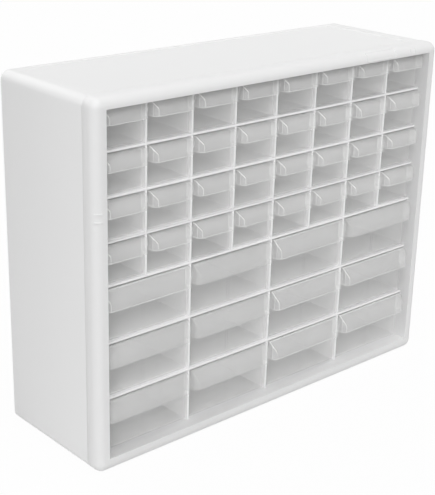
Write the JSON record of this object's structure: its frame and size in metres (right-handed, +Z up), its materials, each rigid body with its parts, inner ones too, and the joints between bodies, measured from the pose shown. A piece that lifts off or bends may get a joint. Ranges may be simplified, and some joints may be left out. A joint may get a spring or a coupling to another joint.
{
  "type": "parts bin cabinet",
  "caption": "Free-standing moulded parts cabinet with rows of small and large pull-out clear drawers in a bull-nosed frame.",
  "frame": {"origin": "centre of the cabinet footprint, on the surface it stands on", "axes": "+Z up, -Y towards the user (the drawer fronts), +X to the right as seen from the front"},
  "size_m": [0.508, 0.162, 0.402],
  "materials": {
    "frame": "white moulded polystyrene, satin",
    "drawer": "clear, slightly cloudy moulded plastic"
  },
  "bodies": {
    "cabinet": {"front_frame": "frame", "rear_case": "frame", "shelf_large_1": "frame", "shelf_large_2": "frame", "shelf_border": "frame", "shelf_small_1": "frame", "shelf_small_2": "frame", "shelf_small_3": "frame", "upright_full_1": "frame", "upright_full_2": "frame", "upright_full_3": "frame", "upright_short_1": "frame", "upright_short_2": "frame", "upright_short_3": "frame", "upright_short_4": "frame"},
    "small_r1_c1": {"drawer_small_r1_c1": "drawer"},
    "small_r1_c2": {"drawer_small_r1_c2": "drawer"},
    "small_r1_c3": {"drawer_small_r1_c3": "drawer"},
    "small_r1_c4": {"drawer_small_r1_c4": "drawer"},
    "small_r1_c5": {"drawer_small_r1_c5": "drawer"},
    "small_r1_c6": {"drawer_small_r1_c6": "drawer"},
    "small_r1_c7": {"drawer_small_r1_c7": "drawer"},
    "small_r1_c8": {"drawer_small_r1_c8": "drawer"},
    "small_r2_c1": {"drawer_small_r2_c1": "drawer"},
    "small_r2_c2": {"drawer_small_r2_c2": "drawer"},
    "small_r2_c3": {"drawer_small_r2_c3": "drawer"},
    "small_r2_c4": {"drawer_small_r2_c4": "drawer"},
    "small_r2_c5": {"drawer_small_r2_c5": "drawer"},
    "small_r2_c6": {"drawer_small_r2_c6": "drawer"},
    "small_r2_c7": {"drawer_small_r2_c7": "drawer"},
    "small_r2_c8": {"drawer_small_r2_c8": "drawer"},
    "small_r3_c1": {"drawer_small_r3_c1": "drawer"},
    "small_r3_c2": {"drawer_small_r3_c2": "drawer"},
    "small_r3_c3": {"drawer_small_r3_c3": "drawer"},
    "small_r3_c4": {"drawer_small_r3_c4": "drawer"},
    "small_r3_c5": {"drawer_small_r3_c5": "drawer"},
    "small_r3_c6": {"drawer_small_r3_c6": "drawer"},
    "small_r3_c7": {"drawer_small_r3_c7": "drawer"},
    "small_r3_c8": {"drawer_small_r3_c8": "drawer"},
    "small_r4_c1": {"drawer_small_r4_c1": "drawer"},
    "small_r4_c2": {"drawer_small_r4_c2": "drawer"},
    "small_r4_c3": {"drawer_small_r4_c3": "drawer"},
    "small_r4_c4": {"drawer_small_r4_c4": "drawer"},
    "small_r4_c5": {"drawer_small_r4_c5": "drawer"},
    "small_r4_c6": {"drawer_small_r4_c6": "drawer"},
    "small_r4_c7": {"drawer_small_r4_c7": "drawer"},
    "small_r4_c8": {"drawer_small_r4_c8": "drawer"},
    "large_r5_c1": {"drawer_large_r5_c1": "drawer"},
    "large_r5_c2": {"drawer_large_r5_c2": "drawer"},
    "large_r5_c3": {"drawer_large_r5_c3": "drawer"},
    "large_r5_c4": {"drawer_large_r5_c4": "drawer"},
    "large_r6_c1": {"drawer_large_r6_c1": "drawer"},
    "large_r6_c2": {"drawer_large_r6_c2": "drawer"},
    "large_r6_c3": {"drawer_large_r6_c3": "drawer"},
    "large_r6_c4": {"drawer_large_r6_c4": "drawer"},
    "large_r7_c1": {"drawer_large_r7_c1": "drawer"},
    "large_r7_c2": {"drawer_large_r7_c2": "drawer"},
    "large_r7_c3": {"drawer_large_r7_c3": "drawer"},
    "large_r7_c4": {"drawer_large_r7_c4": "drawer"}
  },
  "joints": [
    {"name": "slide_small_r1_c1", "type": "slide", "parent": "cabinet", "child": "small_r1_c1", "axis": [0, -1, 0], "range_m": [0, 0.1337]},
    {"name": "slide_small_r1_c2", "type": "slide", "parent": "cabinet", "child": "small_r1_c2", "axis": [0, -1, 0], "range_m": [0, 0.1337]},
    {"name": "slide_small_r1_c3", "type": "slide", "parent": "cabinet", "child": "small_r1_c3", "axis": [0, -1, 0], "range_m": [0, 0.1337]},
    {"name": "slide_small_r1_c4", "type": "slide", "parent": "cabinet", "child": "small_r1_c4", "axis": [0, -1, 0], "range_m": [0, 0.1337]},
    {"name": "slide_small_r1_c5", "type": "slide", "parent": "cabinet", "child": "small_r1_c5", "axis": [0, -1, 0], "range_m": [0, 0.1337]},
    {"name": "slide_small_r1_c6", "type": "slide", "parent": "cabinet", "child": "small_r1_c6", "axis": [0, -1, 0], "range_m": [0, 0.1337]},
    {"name": "slide_small_r1_c7", "type": "slide", "parent": "cabinet", "child": "small_r1_c7", "axis": [0, -1, 0], "range_m": [0, 0.1337]},
    {"name": "slide_small_r1_c8", "type": "slide", "parent": "cabinet", "child": "small_r1_c8", "axis": [0, -1, 0], "range_m": [0, 0.1337]},
    {"name": "slide_small_r2_c1", "type": "slide", "parent": "cabinet", "child": "small_r2_c1", "axis": [0, -1, 0], "range_m": [0, 0.1337]},
    {"name": "slide_small_r2_c2", "type": "slide", "parent": "cabinet", "child": "small_r2_c2", "axis": [0, -1, 0], "range_m": [0, 0.1337]},
    {"name": "slide_small_r2_c3", "type": "slide", "parent": "cabinet", "child": "small_r2_c3", "axis": [0, -1, 0], "range_m": [0, 0.1337]},
    {"name": "slide_small_r2_c4", "type": "slide", "parent": "cabinet", "child": "small_r2_c4", "axis": [0, -1, 0], "range_m": [0, 0.1337]},
    {"name": "slide_small_r2_c5", "type": "slide", "parent": "cabinet", "child": "small_r2_c5", "axis": [0, -1, 0], "range_m": [0, 0.1337]},
    {"name": "slide_small_r2_c6", "type": "slide", "parent": "cabinet", "child": "small_r2_c6", "axis": [0, -1, 0], "range_m": [0, 0.1337]},
    {"name": "slide_small_r2_c7", "type": "slide", "parent": "cabinet", "child": "small_r2_c7", "axis": [0, -1, 0], "range_m": [0, 0.1337]},
    {"name": "slide_small_r2_c8", "type": "slide", "parent": "cabinet", "child": "small_r2_c8", "axis": [0, -1, 0], "range_m": [0, 0.1337]},
    {"name": "slide_small_r3_c1", "type": "slide", "parent": "cabinet", "child": "small_r3_c1", "axis": [0, -1, 0], "range_m": [0, 0.1337]},
    {"name": "slide_small_r3_c2", "type": "slide", "parent": "cabinet", "child": "small_r3_c2", "axis": [0, -1, 0], "range_m": [0, 0.1337]},
    {"name": "slide_small_r3_c3", "type": "slide", "parent": "cabinet", "child": "small_r3_c3", "axis": [0, -1, 0], "range_m": [0, 0.1337]},
    {"name": "slide_small_r3_c4", "type": "slide", "parent": "cabinet", "child": "small_r3_c4", "axis": [0, -1, 0], "range_m": [0, 0.1337]},
    {"name": "slide_small_r3_c5", "type": "slide", "parent": "cabinet", "child": "small_r3_c5", "axis": [0, -1, 0], "range_m": [0, 0.1337]},
    {"name": "slide_small_r3_c6", "type": "slide", "parent": "cabinet", "child": "small_r3_c6", "axis": [0, -1, 0], "range_m": [0, 0.1337]},
    {"name": "slide_small_r3_c7", "type": "slide", "parent": "cabinet", "child": "small_r3_c7", "axis": [0, -1, 0], "range_m": [0, 0.1337]},
    {"name": "slide_small_r3_c8", "type": "slide", "parent": "cabinet", "child": "small_r3_c8", "axis": [0, -1, 0], "range_m": [0, 0.1337]},
    {"name": "slide_small_r4_c1", "type": "slide", "parent": "cabinet", "child": "small_r4_c1", "axis": [0, -1, 0], "range_m": [0, 0.1337]},
    {"name": "slide_small_r4_c2", "type": "slide", "parent": "cabinet", "child": "small_r4_c2", "axis": [0, -1, 0], "range_m": [0, 0.1337]},
    {"name": "slide_small_r4_c3", "type": "slide", "parent": "cabinet", "child": "small_r4_c3", "axis": [0, -1, 0], "range_m": [0, 0.1337]},
    {"name": "slide_small_r4_c4", "type": "slide", "parent": "cabinet", "child": "small_r4_c4", "axis": [0, -1, 0], "range_m": [0, 0.1337]},
    {"name": "slide_small_r4_c5", "type": "slide", "parent": "cabinet", "child": "small_r4_c5", "axis": [0, -1, 0], "range_m": [0, 0.1337]},
    {"name": "slide_small_r4_c6", "type": "slide", "parent": "cabinet", "child": "small_r4_c6", "axis": [0, -1, 0], "range_m": [0, 0.1337]},
    {"name": "slide_small_r4_c7", "type": "slide", "parent": "cabinet", "child": "small_r4_c7", "axis": [0, -1, 0], "range_m": [0, 0.1337]},
    {"name": "slide_small_r4_c8", "type": "slide", "parent": "cabinet", "child": "small_r4_c8", "axis": [0, -1, 0], "range_m": [0, 0.1337]},
    {"name": "slide_large_r5_c1", "type": "slide", "parent": "cabinet", "child": "large_r5_c1", "axis": [0, -1, 0], "range_m": [0, 0.1337]},
    {"name": "slide_large_r5_c2", "type": "slide", "parent": "cabinet", "child": "large_r5_c2", "axis": [0, -1, 0], "range_m": [0, 0.1337]},
    {"name": "slide_large_r5_c3", "type": "slide", "parent": "cabinet", "child": "large_r5_c3", "axis": [0, -1, 0], "range_m": [0, 0.1337]},
    {"name": "slide_large_r5_c4", "type": "slide", "parent": "cabinet", "child": "large_r5_c4", "axis": [0, -1, 0], "range_m": [0, 0.1337]},
    {"name": "slide_large_r6_c1", "type": "slide", "parent": "cabinet", "child": "large_r6_c1", "axis": [0, -1, 0], "range_m": [0, 0.1337]},
    {"name": "slide_large_r6_c2", "type": "slide", "parent": "cabinet", "child": "large_r6_c2", "axis": [0, -1, 0], "range_m": [0, 0.1337]},
    {"name": "slide_large_r6_c3", "type": "slide", "parent": "cabinet", "child": "large_r6_c3", "axis": [0, -1, 0], "range_m": [0, 0.1337]},
    {"name": "slide_large_r6_c4", "type": "slide", "parent": "cabinet", "child": "large_r6_c4", "axis": [0, -1, 0], "range_m": [0, 0.1337]},
    {"name": "slide_large_r7_c1", "type": "slide", "parent": "cabinet", "child": "large_r7_c1", "axis": [0, -1, 0], "range_m": [0, 0.1337]},
    {"name": "slide_large_r7_c2", "type": "slide", "parent": "cabinet", "child": "large_r7_c2", "axis": [0, -1, 0], "range_m": [0, 0.1337]},
    {"name": "slide_large_r7_c3", "type": "slide", "parent": "cabinet", "child": "large_r7_c3", "axis": [0, -1, 0], "range_m": [0, 0.1337]},
    {"name": "slide_large_r7_c4", "type": "slide", "parent": "cabinet", "child": "large_r7_c4", "axis": [0, -1, 0], "range_m": [0, 0.1337]}
  ]
}
